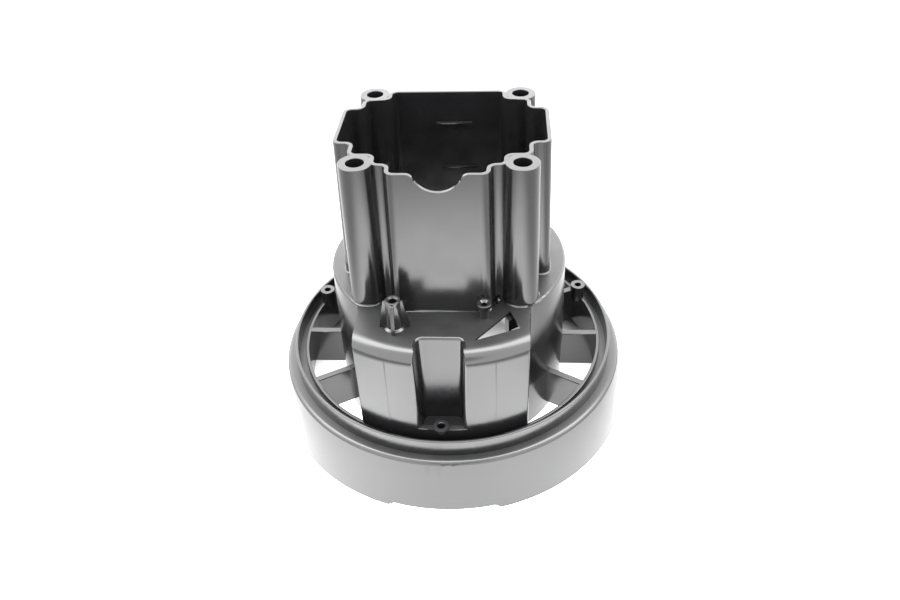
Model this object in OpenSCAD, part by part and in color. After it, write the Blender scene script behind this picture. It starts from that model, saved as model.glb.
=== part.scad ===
// Motor housing, moulded in one piece.
// A flared foot skirt carries a vent ring on spokes. A hollow drum stands in the ring, with a
// rounded box on its front, and the open-ended motor tube rises from the deck of the drum.
// The origin is on the drum's axis, at the foot. The front, with the box, looks along -Y.

/* [Foot skirt] */
// Outer radius of the skirt at the floor
skirt_foot_r = 84; // [82:0.5:90]
// Outer radius of the skirt where it meets the shoulder
skirt_top_r = 80; // [78.5:0.5:82]
// Height of the shoulder above the floor
shoulder_z = 27.4; // [24:0.2:30]
// Thickness of the skirt and of the shoulder
skirt_wall = 2.2; // [1.6:0.1:3]
// Rounding of the edge between skirt and shoulder
shoulder_round = 2; // [0.6:0.1:3]
// Width of the shallow relief in the front of the foot
relief_w = 44; // [20:1:60]
// Height of the relief
relief_h = 1.9; // [1:0.1:4]
// Length of each sloping end of the relief
relief_slope = 2.6; // [1:0.1:6]

/* [Seal lip] */
// Outer radius of the lip that stands on the shoulder
lip_r = 75.6; // [74:0.1:77]
// Thickness of the lip
lip_wall = 1.45; // [1:0.05:2]
// Height of the lip above the shoulder
lip_h = 7.8; // [4:0.2:12]

/* [Vent ring] */
// Outer radius of the ring
ring_r = 71; // [69:0.1:71.8]
// Thickness of the ring
ring_wall = 1.5; // [1.2:0.1:2.5]
// Height of the top of the ring and its spokes
ring_top_z = 31; // [29:0.2:34]
// Height of the lower edge of the ring and its spokes
ring_low_z = 12; // [10:0.5:18]
// Angle between neighbouring spokes
spoke_pitch = 30; // [20:5:45]
// Thickness of a spoke
spoke_wall = 3.3; // [2:0.1:5]

/* [Ring bosses] */
// Angles of the three screw bosses on the ring
ring_boss_angles = [-90.6, 24.6, 160.2];
// Radius from the axis to the centre of a ring boss
ring_boss_at_r = 68.8; // [68:0.1:69.4]
// Outer radius of a ring boss
ring_boss_r = 3.6; // [3:0.1:4.4]
// Radius of its screw hole
ring_hole_r = 1.55; // [1:0.05:2]
// Height of its top above the floor
ring_boss_z = 38.1; // [36.6:0.1:42]
// Height of the taper that carries the boss where it overhangs the ring
ring_boss_taper = 3.6; // [2:0.1:4]

/* [Drum] */
// Outer radius of the drum at the deck
drum_top_r = 52.6; // [52.2:0.1:54]
// How much wider the drum is just above the ring, for the draft
drum_flare = 0.8; // [0.4:0.1:3]
// Height above the ring where the drum's mould parts
drum_line_h = 1.4; // [0.6:0.2:6]
// Setback of the drum below that line
drum_step = 0.3; // [0.1:0.1:1]
// Height of the drum's lower edge
drum_low_z = 8; // [4:0.5:11]
// Height of the deck
deck_z = 77.4; // [70:0.2:90]
// Thickness of the drum, the deck and the box
drum_wall = 2; // [1.5:0.1:2.5]
// Rounding of the drum's edge at the deck
deck_round = 1; // [0.4:0.1:1.4]

/* [Front box] */
// Width of the box across its flat sides
box_w = 71.2; // [66:0.2:76]
// Setback of the front of the box from the outside of the ring
box_setback = 0.15; // [0.1:0.05:1]
// Rounding of the long top edge at the front
box_top_round = 6; // [3:0.2:8]
// Rounding of the top edges along the sides
box_side_round = 1.8; // [0.5:0.1:2.2]
// Rounding of the two upright front corners
box_corner_round = 2; // [1:0.1:4]
// Radius of the hollow fillets that lead the sides into the drum
box_web_round = 10; // [5:0.5:14]
// Angle on either side of the front where the drum's wall is left hanging in the box
stub_angle = 31; // [25:0.5:33]
// Depth of that wall below the deck
stub_h = 5.4; // [3:0.2:7]
// Thickness of that wall
stub_wall = 3.2; // [2.2:0.1:4]
// Depth of the narrow post at its free end
stub_post_h = 7.4; // [7.2:0.2:12]
// Width of the post, in degrees round the drum
stub_post_angle = 1.4; // [0.8:0.1:4]
// Distance of the two upright seams on the front from its middle
seam_x = 22.4; // [16:0.2:28]
// Radius of a seam's groove
seam_r = 0.8; // [0.4:0.1:1.2]
// Depth of the groove
seam_depth = 0.1; // [0.05:0.01:0.2]

/* [Channel] */
// Width of the channel at its mouth, at the height of the sill
channel_mouth_w = 17.9; // [14:0.1:20]
// Width of the channel at its back wall, at the same height
channel_back_w = 16.5; // [10:0.1:17]
// Distance of the middle of the channel from the middle of the box
channel_x = -0.3; // [-2:0.1:2]
// Lean of each side wall, in degrees, for the draft
channel_lean = 1.6; // [0.5:0.1:2.5]
// Distance from the axis to the back wall
channel_back_y = 58.7; // [57:0.1:61]
// Height of the channel's floor
channel_floor_z = 33; // [32:0.2:35]
// Height of the low wall across the mouth
channel_sill_z = 37.5; // [36:0.1:38]
// Distance from the axis to the inner face of that wall
channel_sill_y = 67.8; // [67:0.1:69]
// Rounding of the upright corners at the mouth
channel_round = 2; // [0.5:0.1:3]
// Rounding of the upright corners at the back
channel_back_round = 2.5; // [0.5:0.1:4]

/* [Wire window] */
// The three corners of the window through the deck
window_corners = [[27.7, -41.4], [31.8, -51.9], [13.4, -59.8]];
// Thickness of the deck at the edge of the window
window_edge_t = 0.9; // [0.6:0.1:1.4]
// How much larger the window is below that edge, from corner to middle
window_relief = 1.3; // [1.05:0.05:1.4]

/* [Motor tube] */
// Height of the tube's rim above the floor
tube_top_z = 141; // [120:1:160]
// Thickness of the tube
tube_wall = 1.7; // [1.2:0.1:2]
// Half width of the main bay at the rim
bay_x = 34.5; // [33.5:0.1:35]
// Front and rear of the main bay
bay_y = [-23.5, 24.5];
// Half width of the side bulges
side_bulge_x = 41.9; // [40:0.1:42.4]
// Front and rear of the side bulges
side_bulge_y = [-13.5, 15.6];
// Half width of the rear bulge
rear_bulge_x = 24.1; // [22:0.1:24.6]
// Rear of the rear bulge
rear_bulge_y = 32.7; // [30:0.1:34]
// Half width of the step in front of the main bay
front_step_x = 24.8; // [22:0.1:25.2]
// Front of that step
front_step_y = -31.3; // [-33:0.1:-29]
// Half width of the front bulge
front_bulge_x = 18.3; // [14:0.1:19]
// Front of the front bulge
front_bulge_y = -38.6; // [-39.2:0.1:-36]
// Rounding of a corner on its inner side, where it turns tightest
tube_round = 2.2; // [0.5:0.1:2.3]
// How much wider the tube is at the deck than at the rim
tube_draft = 1.035; // [1.01:0.005:1.04]

/* [Corner bosses] */
// Half the spacing of the corner bosses from side to side
corner_x = 31.85; // [31:0.05:32.4]
// Half their spacing from front to rear
corner_y = 30.8; // [30:0.05:31.4]
// Outer radius of a corner boss at the rim
corner_top_r = 6.7; // [6:0.1:7]
// Outer radius at the deck
corner_foot_r = 7.8; // [7:0.1:8]
// Radius of the screw hole
corner_hole_r = 3.6; // [2:0.1:4]
// Depth of the screw hole
corner_hole_h = 30; // [15:1:60]

/* [Rim notch] */
// Radius of the round notch in the front of the rim
notch_r = 9.8; // [6:0.1:11]
// Depth of the notch
notch_h = 7.7; // [5:0.1:10]
// Rounding of its two shoulders
notch_shoulder = 3.4; // [0.5:0.1:4]

/* [Tube ribs] */
// Heights of the two short ribs inside the rear wall
rib_heights = [103.5, 126];
// Where the middle of each rib is, from side to side
rib_places = [4.5, 2.5];
// Length of a rib
rib_l = 16.5; // [8:0.5:24]
// Thickness of a rib
rib_t = 1; // [0.6:0.1:2]

/* [Finned boss] */
// Place of the tall boss on the deck
fin_boss_at = [-19, -51.3];
// Height of the boss above the deck
fin_boss_h = 13.6; // [8:0.2:18]
// Outer radius at its top
fin_boss_top_r = 3.15; // [2.6:0.05:3.4]
// Outer radius at the deck
fin_boss_foot_r = 3.5; // [3.4:0.05:4]
// Radius of its screw hole
fin_hole_r = 1.6; // [1:0.05:2]
// Reach of the four fins at the top
fin_top_reach = 4; // [3.6:0.1:5]
// Reach of the fins at the deck
fin_foot_reach = 6.2; // [5:0.1:7]
// Thickness of a fin
fin_t = 1.5; // [1:0.1:2]
// Distance from the boss's top down to the top of the fins
fin_drop = 0.6; // [0.2:0.1:2]
// Radius of the sloping foot round the boss
fin_base_r = 4.5; // [4.1:0.1:5]
// Height of that foot
fin_base_h = 0.9; // [0.3:0.1:1.5]
// Radius of the countersink at the top of the hole
fin_sink_r = 2.2; // [2.1:0.05:2.5]
// Depth of the countersink
fin_sink_h = 0.7; // [0.3:0.1:1.2]

/* [Plain boss] */
// Place of the short boss on the deck
short_boss_at = [17.1, -44.4];
// Height of the boss above the deck
short_boss_h = 6.8; // [4:0.2:12]
// Outer radius of the boss
short_boss_r = 2.3; // [2.1:0.05:2.8]
// Outer radius of the collar at its top
short_collar_r = 3.1; // [2.9:0.05:3.5]
// Height of the collar
short_collar_h = 1.3; // [0.6:0.1:2.5]
// Radius of its screw hole
short_hole_r = 1.1; // [0.8:0.05:1.4]
// Radius of the dished mouth of that hole
short_sink_r = 2.1; // [1.8:0.05:2.4]
// Depth of the dish
short_sink_h = 0.7; // [0.3:0.1:1]
// Place of the small pip beside the tube
pip_at = [22.9, -35.6];
// Radius of the pip
pip_r = 1.05; // [0.6:0.05:1.3]
// Height of the pip, with its round top
pip_h = 2.4; // [1.6:0.1:3]

/* [Hidden] */
$fn = 96;
arc_steps = 7;      // straight pieces in a rounded corner of an outline
cut = 1;            // how far a cut runs past the face that it opens
bite = 0.15;        // how far a hollow fillet is sunk into the drum, so that the faces cross cleanly
cross = 0.02;       // how far a round corner crosses the front of the box, for the same reason
floor_skin = 1.6;   // what is left below a blind hole in a deck boss
stub_sweep = 30;    // reaches from a stub's free end into the drum's own wall
skirt_slope = (skirt_foot_r - skirt_top_r) / shoulder_z;
drum_line_z = ring_top_z + drum_line_h;
drum_ring_r = drum_top_r + drum_flare;
drum_slope = (drum_ring_r - drum_top_r) / (deck_z - drum_line_z);
box_r = ring_r - box_setback;
shoulder_low_z = shoulder_z - skirt_wall;
lip_top_z = shoulder_z + lip_h;
deck_low_z = deck_z - drum_wall;
box_x = box_w / 2;
deck_hole_z = deck_z + floor_skin;
channel_reach = 5;  // how far the cut for the channel flares out in front of the box
channel_flare = 0.4;
channel_half = 4;   // how far each half of the channel runs past its middle
channel_drop = 12;  // how far below the sill each half begins
side_web_turn = 31; // how far a side's rounding runs on past the point where it meets the drum
spoke_from_r = drum_top_r - drum_wall / 2;
// the spokes that would stand inside the box are left out
box_half_angle = asin(box_x / ring_r);
spoke_angles = [for (a = [-90 + spoke_pitch : spoke_pitch : 270 - spoke_pitch])
    if (a > box_half_angle - 90 + spoke_pitch / 4 && a < 270 - box_half_angle - spoke_pitch / 4) a];

// outline, given anticlockwise, with its corners rounded: those that turn left by out_r and those
// that turn right by in_r, or less where an edge is too short for both
function unit(v) = v / norm(v);
function rounded(outline, out_r, in_r) = [
    for (i = [0 : len(outline) - 1])
        let (
            here = outline[i],
            to_last = outline[(i + len(outline) - 1) % len(outline)] - here,
            to_next = outline[(i + 1) % len(outline)] - here,
            r = to_next.x * to_last.y - to_next.y * to_last.x > 0 ? out_r : in_r,
            room = 0.98 * r / (out_r + in_r) * min(norm(to_last), norm(to_next)),
            half = acos(unit(to_last) * unit(to_next)) / 2,
            fit = min(r, room * tan(half)),
            middle = here + unit(unit(to_last) + unit(to_next)) * fit / sin(half),
            start = here + unit(to_last) * fit / tan(half) - middle,
            end = here + unit(to_next) * fit / tan(half) - middle,
            from = atan2(start.y, start.x),
            turn = (atan2(end.y, end.x) - from + 540) % 360 - 180
        )
        for (k = [0 : arc_steps])
            let (a = from + turn * k / arc_steps)
                middle + fit * [cos(a), sin(a)]
];

// the right half of an outline and its mirror image, as one closed list
function both_halves(half) = concat(half, [for (i = [len(half) - 1 : -1 : 0]) [-half[i].x, half[i].y]]);

// size of the tube at a height, against its size at the rim
function widen(z) = 1 + (tube_draft - 1) * (tube_top_z - z) / (tube_top_z - deck_z);

module skirt() {
    rotate_extrude()
        difference() {
            polygon([
                [skirt_foot_r - skirt_wall, 0],
                [skirt_foot_r, 0],
                [skirt_top_r, shoulder_z],
                [ring_r - ring_wall / 2, shoulder_z],
                [ring_r - ring_wall / 2, shoulder_low_z],
                [skirt_top_r - skirt_wall + skirt_slope * skirt_wall, shoulder_low_z]
            ]);
            rim_corner([skirt_top_r, shoulder_z], skirt_slope, shoulder_round);
        }
}

// what a rounding takes from the corner between a flat top and a wall that leans outwards below it
module rim_corner(corner, slope, r) {
    lean = atan(slope);
    middle = [corner.x + slope * r - r / cos(lean), corner.y - r];
    difference() {
        polygon([
            middle,
            [middle.x, corner.y + cut],
            [corner.x + cut, corner.y + cut],
            [corner.x + cut, middle.y + r * sin(lean)],
            middle + r * [cos(lean), sin(lean)]
        ]);
        translate(middle) circle(r = r);
    }
}

module foot_relief() {
    translate([0, -ring_r, 0])
        rotate([90, 0, 0])
            linear_extrude(height = skirt_foot_r - ring_r + cut)
                polygon([
                    [-relief_w / 2 - relief_slope, -cut],
                    [-relief_w / 2 - relief_slope, 0],
                    [-relief_w / 2, relief_h],
                    [relief_w / 2, relief_h],
                    [relief_w / 2 + relief_slope, 0],
                    [relief_w / 2 + relief_slope, -cut]
                ]);
}

// a plain hoop with square edges
module hoop(outer, wall, low, high) {
    rotate_extrude()
        translate([outer - wall, low])
            square([wall, high - low]);
}

module spokes() {
    for (a = spoke_angles)
        rotate([0, 0, a])
            translate([spoke_from_r, -spoke_wall / 2, ring_low_z])
                cube([ring_r - ring_wall / 2 - spoke_from_r, spoke_wall, ring_top_z - ring_low_z]);
}

// the bosses are cut off flush with the outside of the ring, apart from a tapered overhang
module ring_boss_bodies() {
    intersection() {
        for (a = ring_boss_angles)
            rotate([0, 0, a])
                translate([ring_boss_at_r, 0, ring_top_z - cut])
                    cylinder(r = ring_boss_r, h = ring_boss_z - ring_top_z + cut);
        cylinder(r = ring_r - ring_wall / 4, h = tube_top_z);
    }
    for (a = ring_boss_angles)
        rotate([0, 0, a])
            translate([ring_boss_at_r, 0, ring_boss_z - ring_boss_taper])
                cylinder(r1 = ring_r - ring_boss_at_r, r2 = ring_boss_r, h = ring_boss_taper);
}

module ring_boss_holes() {
    for (a = ring_boss_angles)
        rotate([0, 0, a])
            translate([ring_boss_at_r, 0, ring_top_z])
                cylinder(r = ring_hole_r, h = ring_boss_z - ring_top_z + cut);
}

module drum_body() {
    rotate_extrude()
        difference() {
            polygon([
                [0, drum_low_z],
                [drum_ring_r - drum_step, drum_low_z],
                [drum_ring_r - drum_step, drum_line_z],
                [drum_ring_r, drum_line_z],
                [drum_top_r, deck_z],
                [0, deck_z]
            ]);
            rim_corner([drum_top_r, deck_z], drum_slope, deck_round);
        }
}

module drum_hollow() {
    rotate_extrude()
        polygon([
            [0, drum_low_z - cut],
            [drum_ring_r - drum_step - drum_wall, drum_low_z - cut],
            [drum_ring_r - drum_step - drum_wall, drum_line_z],
            [drum_top_r - drum_wall, deck_low_z],
            [0, deck_low_z]
        ]);
}

// centre of the hollow fillet on the right; it is the same for the outside and the inside
web_x = box_x + box_web_round;
web_at = [web_x, -sqrt(pow(drum_top_r - bite + box_web_round, 2) - pow(web_x, 2))];

// plan of the box and its two hollow fillets, drawn in from the outside by inset
module box_plan(inset) {
    x = box_x - inset;
    front = box_r - inset;
    corner = max(box_corner_round - inset, 0.2);
    web = box_web_round + inset;
    drum = drum_top_r - bite - inset;
    drum_end = web_at * drum / (drum + web);
    to_corner = front - corner + cross;
    corner_at = [x - corner, -sqrt(pow(to_corner, 2) - pow(x - corner, 2))];
    corner_end = corner_at * front / to_corner;
    union() {
        intersection() {
            circle(r = front);
            union() {
                translate([-corner_end.x, -front - cut])
                    square([2 * corner_end.x, front]);
                for (s = [-1, 1])
                    translate([s * corner_at.x, corner_at.y]) circle(r = corner);
            }
        }
        translate([-x, corner_at.y])
            square([2 * x, web_at.y - corner_at.y]);
        for (s = [-1, 1])
            difference() {
                polygon([
                    [0, 0],
                    [s * drum_end.x, drum_end.y],
                    [s * web_at.x, web_at.y],
                    [s * x, web_at.y],
                    [0, web_at.y - cut]
                ]);
                translate([s * web_at.x, web_at.y]) circle(r = web);
            }
    }
}

// a round-shouldered block, turned about the axis, that the box is cut from
module front_round(inset, low) {
    r = box_r - inset;
    high = deck_z - inset;
    round_r = box_top_round - inset;
    rotate_extrude()
        union() {
            translate([0, low]) square([r, high - round_r - low]);
            translate([0, low]) square([r - round_r, high - low]);
            translate([r - round_r, high - round_r]) circle(r = round_r);
        }
}

// what the rounding of a side's top edge takes away; the edge is at the origin of this profile
module side_corner() {
    inner = box_side_round - cross;
    difference() {
        translate([-inner, -inner]) square(inner + cut);
        translate([-inner, -inner]) circle(r = box_side_round);
    }
}

module side_rounds() {
    web_angle = atan2(-web_at.y, -web_at.x) - side_web_turn;
    for (s = [0, 1])
        mirror([s, 0, 0]) {
            translate([box_x, web_at.y, deck_z])
                rotate([90, 0, 0])
                    linear_extrude(height = box_r + cut + web_at.y)
                        side_corner();
            translate([web_at.x, web_at.y, deck_z])
                rotate([0, 0, web_angle])
                    rotate_extrude(angle = 180 - web_angle)
                        translate([box_web_round, 0])
                            mirror([1, 0])
                                side_corner();
        }
}

module seams() {
    for (s = [-1, 1])
        translate([s * seam_x, -sqrt(pow(box_r + seam_r - seam_depth, 2) - pow(seam_x, 2)), channel_floor_z])
            cylinder(r = seam_r, h = deck_z - channel_floor_z);
}

module box_body() {
    difference() {
        intersection() {
            front_round(0, ring_low_z);
            translate([0, 0, ring_low_z])
                linear_extrude(height = deck_z - ring_low_z)
                    box_plan(0);
        }
        side_rounds();
        seams();
    }
}

module box_hollow() {
    intersection() {
        front_round(drum_wall, drum_low_z - cut);
        translate([0, 0, drum_low_z - cut])
            linear_extrude(height = deck_low_z - drum_low_z + cut)
                box_plan(drum_wall);
    }
}

// the two places where the drum's wall is left inside the box, hanging from the deck
module stub_zone() {
    intersection() {
        drum_body();
        for (s = [0, 1])
            mirror([s, 0, 0])
                rotate([0, 0, stub_angle - 90]) {
                    stub_sector(stub_sweep, stub_h);
                    stub_sector(stub_post_angle, stub_post_h);
                }
    }
}

module stub_sector(sweep, depth) {
    rotate_extrude(angle = sweep)
        translate([drum_top_r - stub_wall, deck_low_z - depth])
            square([ring_r - drum_top_r + stub_wall, depth + drum_wall]);
}

// both halves of an upright block, each leaning outwards about the height of the sill
module leaning_halves() {
    translate([channel_x, 0, channel_sill_z])
        for (s = [0, 1])
            mirror([s, 0, 0])
                rotate([0, channel_lean, 0])
                    translate([0, 0, -channel_drop])
                        linear_extrude(height = channel_drop + deck_z - channel_sill_z + 2 * cut)
                            children();
}

module channel_shell() {
    intersection() {
        leaning_halves()
            polygon([
                [-channel_half, -ring_r - cut],
                [channel_mouth_w / 2 + drum_wall, -ring_r - cut],
                [channel_mouth_w / 2 + drum_wall, -ring_r + drum_wall / 2],
                [channel_back_w / 2 + drum_wall, -channel_back_y + drum_wall],
                [-channel_half, -channel_back_y + drum_wall]
            ]);
        rotate_extrude()
            translate([0, channel_floor_z - drum_wall])
                square([ring_r - ring_wall / 2, deck_z - drum_wall / 2 - channel_floor_z + drum_wall]);
        front_round(drum_wall / 2, ring_low_z);
    }
}

module channel_cut() {
    mouth_y = sqrt(pow(box_r, 2) - pow(channel_mouth_w / 2, 2));
    intersection() {
        leaning_halves()
            polygon(rounded([
                [-channel_half, -ring_r - channel_reach],
                [channel_mouth_w / 2 + channel_reach, -ring_r - channel_reach],
                [channel_mouth_w / 2 + channel_reach, -mouth_y + channel_flare],
                [channel_mouth_w / 2, -mouth_y],
                [channel_back_w / 2, -channel_back_y],
                [-channel_half, -channel_back_y]
            ], channel_back_round, channel_round));
        union() {
            translate([-box_x, -ring_r - cut, channel_sill_z])
                cube([box_w, ring_r, deck_z - channel_sill_z + cut]);
            translate([-box_x, -channel_sill_y, channel_floor_z])
                cube([box_w, channel_sill_y, channel_sill_z - channel_floor_z + cut]);
        }
    }
}

module window_cut() {
    translate([0, 0, deck_low_z - bite])
        linear_extrude(height = drum_wall + bite + cut)
            polygon(window_corners);
}

// the larger pocket below the thin edge of the window
module window_pocket() {
    middle = (window_corners[0] + window_corners[1] + window_corners[2]) / 3;
    translate([0, 0, deck_low_z - cut])
        linear_extrude(height = drum_wall - window_edge_t + cut)
            polygon([for (c = window_corners) middle + window_relief * (c - middle)]);
}

// outline of the bay at the rim, wider by grow all round
function bay_outline(grow) = both_halves([
    [front_bulge_x + grow, front_bulge_y - grow],
    [front_bulge_x + grow, front_step_y - grow],
    [front_step_x + grow, front_step_y - grow],
    [front_step_x + grow, bay_y[0] - grow],
    [bay_x + grow, bay_y[0] - grow],
    [bay_x + grow, side_bulge_y[0] - grow],
    [side_bulge_x + grow, side_bulge_y[0] - grow],
    [side_bulge_x + grow, side_bulge_y[1] + grow],
    [bay_x + grow, side_bulge_y[1] + grow],
    [bay_x + grow, bay_y[1] + grow],
    [rear_bulge_x + grow, bay_y[1] + grow],
    [rear_bulge_x + grow, rear_bulge_y + grow]
]);

// a drafted block with the outline of the bay, wider by grow all round
module bay_block(grow, low, high) {
    out_r = tube_round + grow;
    in_r = tube_round + tube_wall - grow;
    translate([0, 0, low])
        linear_extrude(height = high - low, scale = widen(high) / widen(low))
            scale(widen(low))
                polygon(rounded(bay_outline(grow), out_r, in_r));
}

module corner_places() {
    for (x = [-corner_x, corner_x], y = [-corner_y, corner_y])
        translate([x, y, 0]) children();
}

module corner_boss_bodies() {
    corner_places()
        translate([0, 0, deck_z])
            cylinder(r1 = corner_foot_r, r2 = corner_top_r, h = tube_top_z - deck_z);
    corner_places()
        translate([0, 0, deck_z - drum_wall])
            cylinder(r = corner_foot_r - bite, h = 2 * drum_wall);
}

module corner_boss_holes() {
    corner_places()
        translate([0, 0, tube_top_z - corner_hole_h])
            cylinder(r = corner_hole_r, h = corner_hole_h + cut);
}

module rim_notch() {
    round_z = tube_top_z - notch_h + notch_r;
    shoulder_at_z = tube_top_z - notch_shoulder;
    shoulder_at_x = sqrt(pow(notch_r + notch_shoulder, 2) - pow(round_z - shoulder_at_z, 2));
    translate([0, front_step_y, 0])
        rotate([90, 0, 0])
            linear_extrude(height = front_step_y - front_bulge_y + corner_foot_r)
                union() {
                    translate([0, round_z]) circle(r = notch_r);
                    difference() {
                        polygon([
                            [-shoulder_at_x, shoulder_at_z],
                            [0, round_z - notch_r / 2],
                            [shoulder_at_x, shoulder_at_z],
                            [shoulder_at_x, tube_top_z + cut],
                            [-shoulder_at_x, tube_top_z + cut]
                        ]);
                        for (s = [-1, 1])
                            translate([s * shoulder_at_x, shoulder_at_z]) circle(r = notch_shoulder);
                    }
                }
}

module tube_ribs() {
    for (i = [0, 1])
        translate([
            rib_places[i] - rib_l / 2,
            rear_bulge_y * widen(rib_heights[i]) - rib_t,
            rib_heights[i] - rib_t / 2
        ])
            cube([rib_l, rib_t + tube_wall / 2, rib_t]);
}

module finned_boss() {
    translate([fin_boss_at.x, fin_boss_at.y, deck_z - drum_wall / 2]) {
        cylinder(r = fin_base_r, h = drum_wall / 2);
        translate([0, 0, drum_wall / 2]) {
            cylinder(r1 = fin_base_r, r2 = fin_boss_top_r, h = fin_base_h);
            cylinder(r1 = fin_boss_foot_r, r2 = fin_boss_top_r, h = fin_boss_h);
        }
        for (a = [0, 90])
            rotate([90, 0, a])
                translate([0, 0, -fin_t / 2])
                    linear_extrude(height = fin_t)
                        polygon([
                            [-fin_foot_reach, 0],
                            [fin_foot_reach, 0],
                            [fin_foot_reach, drum_wall / 2],
                            [fin_top_reach, drum_wall / 2 + fin_boss_h - fin_drop],
                            [-fin_top_reach, drum_wall / 2 + fin_boss_h - fin_drop],
                            [-fin_foot_reach, drum_wall / 2]
                        ]);
    }
}

module short_boss() {
    translate([short_boss_at.x, short_boss_at.y, deck_z - drum_wall / 2])
        cylinder(r = short_boss_r, h = drum_wall / 2 + short_boss_h);
    translate([short_boss_at.x, short_boss_at.y, deck_z + short_boss_h - short_collar_h])
        cylinder(r = short_collar_r, h = short_collar_h);
}

// a small round-topped pip, turned in one piece
module pip() {
    translate([pip_at.x, pip_at.y, deck_z])
        rotate_extrude()
            intersection() {
                translate([0, -drum_wall / 2]) square([pip_r, pip_h + drum_wall / 2]);
                union() {
                    translate([0, -drum_wall / 2]) square([pip_r, pip_h - pip_r + drum_wall / 2]);
                    translate([0, pip_h - pip_r]) circle(r = pip_r);
                }
            }
}

module deck_boss_holes() {
    translate([fin_boss_at.x, fin_boss_at.y, deck_hole_z])
        cylinder(r = fin_hole_r, h = fin_boss_h);
    translate([fin_boss_at.x, fin_boss_at.y, deck_z + fin_boss_h - fin_sink_h])
        cylinder(r1 = fin_hole_r, r2 = fin_sink_r, h = fin_sink_h);
    translate([short_boss_at.x, short_boss_at.y, deck_hole_z])
        cylinder(r = short_hole_r, h = short_boss_h);
    translate([short_boss_at.x, short_boss_at.y, deck_z + short_boss_h - short_sink_h])
        cylinder(r1 = short_hole_r, r2 = short_sink_r, h = short_sink_h);
}

module base() {
    difference() {
        union() {
            skirt();
            hoop(lip_r, lip_wall, shoulder_low_z, lip_top_z);
            hoop(ring_r, ring_wall, ring_low_z, ring_top_z);
            spokes();
            ring_boss_bodies();
        }
        foot_relief();
    }
}

module drum_and_box() {
    difference() {
        union() {
            difference() {
                union() {
                    drum_body();
                    box_body();
                }
                difference() {
                    union() {
                        drum_hollow();
                        box_hollow();
                        window_pocket();
                    }
                    stub_zone();
                }
            }
            channel_shell();
            finned_boss();
            short_boss();
            pip();
        }
        channel_cut();
        window_cut();
        deck_boss_holes();
    }
}

module motor_housing() {
    color([0.09, 0.09, 0.1])
        difference() {
            union() {
                base();
                drum_and_box();
                difference() {
                    bay_block(tube_wall, deck_z - drum_wall / 2, tube_top_z);
                    rim_notch();
                }
                corner_boss_bodies();
            }
            difference() {
                bay_block(0, deck_low_z - cut, tube_top_z + cut);
                tube_ribs();
                corner_boss_bodies();
            }
            corner_boss_holes();
            ring_boss_holes();
        }
}

motor_housing();
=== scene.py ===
# %% [markdown]
# # A moulded motor housing in gloss black plastic
#
# The object is one injection moulding: a flared foot skirt, a vent ring on spokes, a hollow drum with
# a rounded box on its front, and an open tube that takes the motor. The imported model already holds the
# form at its real size, in metres, so this lesson is about the looks: a clean skin, softly broken
# edges, a plastic that is nearly a black mirror, and the white studio that it reflects.

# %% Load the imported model
import math

import bmesh
import bpy
from mathutils import Matrix, Vector
from mathutils.geometry import intersect_line_line_2d


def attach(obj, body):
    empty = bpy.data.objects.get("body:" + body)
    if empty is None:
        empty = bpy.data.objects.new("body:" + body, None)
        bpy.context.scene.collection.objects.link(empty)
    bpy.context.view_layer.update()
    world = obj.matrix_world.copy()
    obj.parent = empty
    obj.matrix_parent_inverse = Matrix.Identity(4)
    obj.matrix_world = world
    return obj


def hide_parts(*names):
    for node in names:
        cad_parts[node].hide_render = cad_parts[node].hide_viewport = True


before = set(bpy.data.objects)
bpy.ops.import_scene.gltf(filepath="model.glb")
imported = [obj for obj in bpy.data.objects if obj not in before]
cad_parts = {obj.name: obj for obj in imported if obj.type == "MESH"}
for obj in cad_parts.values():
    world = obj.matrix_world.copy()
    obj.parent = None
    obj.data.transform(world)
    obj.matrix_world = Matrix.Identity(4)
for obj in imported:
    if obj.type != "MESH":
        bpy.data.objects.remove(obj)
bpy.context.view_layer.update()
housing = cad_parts["motor_housing"]
print("nodes:", sorted(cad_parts), "triangles:", len(housing.data.polygons))

# %% [markdown]
# ## The scale of things
#
# Blender works in metres here and a mould maker thinks in millimetres. One constant does the
# translation, so that every size below reads as it would on a drawing.

# %% Millimetres
MM = 0.001


def mm(*values):
    """A vector given in millimetres."""
    return Vector(values) * MM


# %% [markdown]
# ## The skin
#
# The moulding is one closed skin of plastic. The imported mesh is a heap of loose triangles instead:
# each has its own corners, so nothing can be smooth across them. Smooth shading over the loose
# triangles would do nothing, and a remesh would round off the crisp steps of the tube. Welding a copy
# joins the triangles into one closed skin, and dissolving the edges between coplanar triangles gives
# back whole walls, each as one face, so that a bevel has clean edges to follow.

# %% Weld a copy of the moulding
WELD_DISTANCE = 0.0005 * MM
FLAT_ANGLE = math.radians(0.1)
LEVEL_ANGLE = math.radians(20)
LEVEL_ERROR = 0.001 * MM


def is_level(face):
    """Whether a face lies at one height."""
    heights = [vert.co.z for vert in face.verts]
    return max(heights) - min(heights) < LEVEL_ERROR


def count_open_edges(bm):
    """How many edges don't have exactly two faces, which is none on a closed skin."""
    return sum(1 for edge in bm.edges if len(edge.link_faces) != 2)


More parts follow.
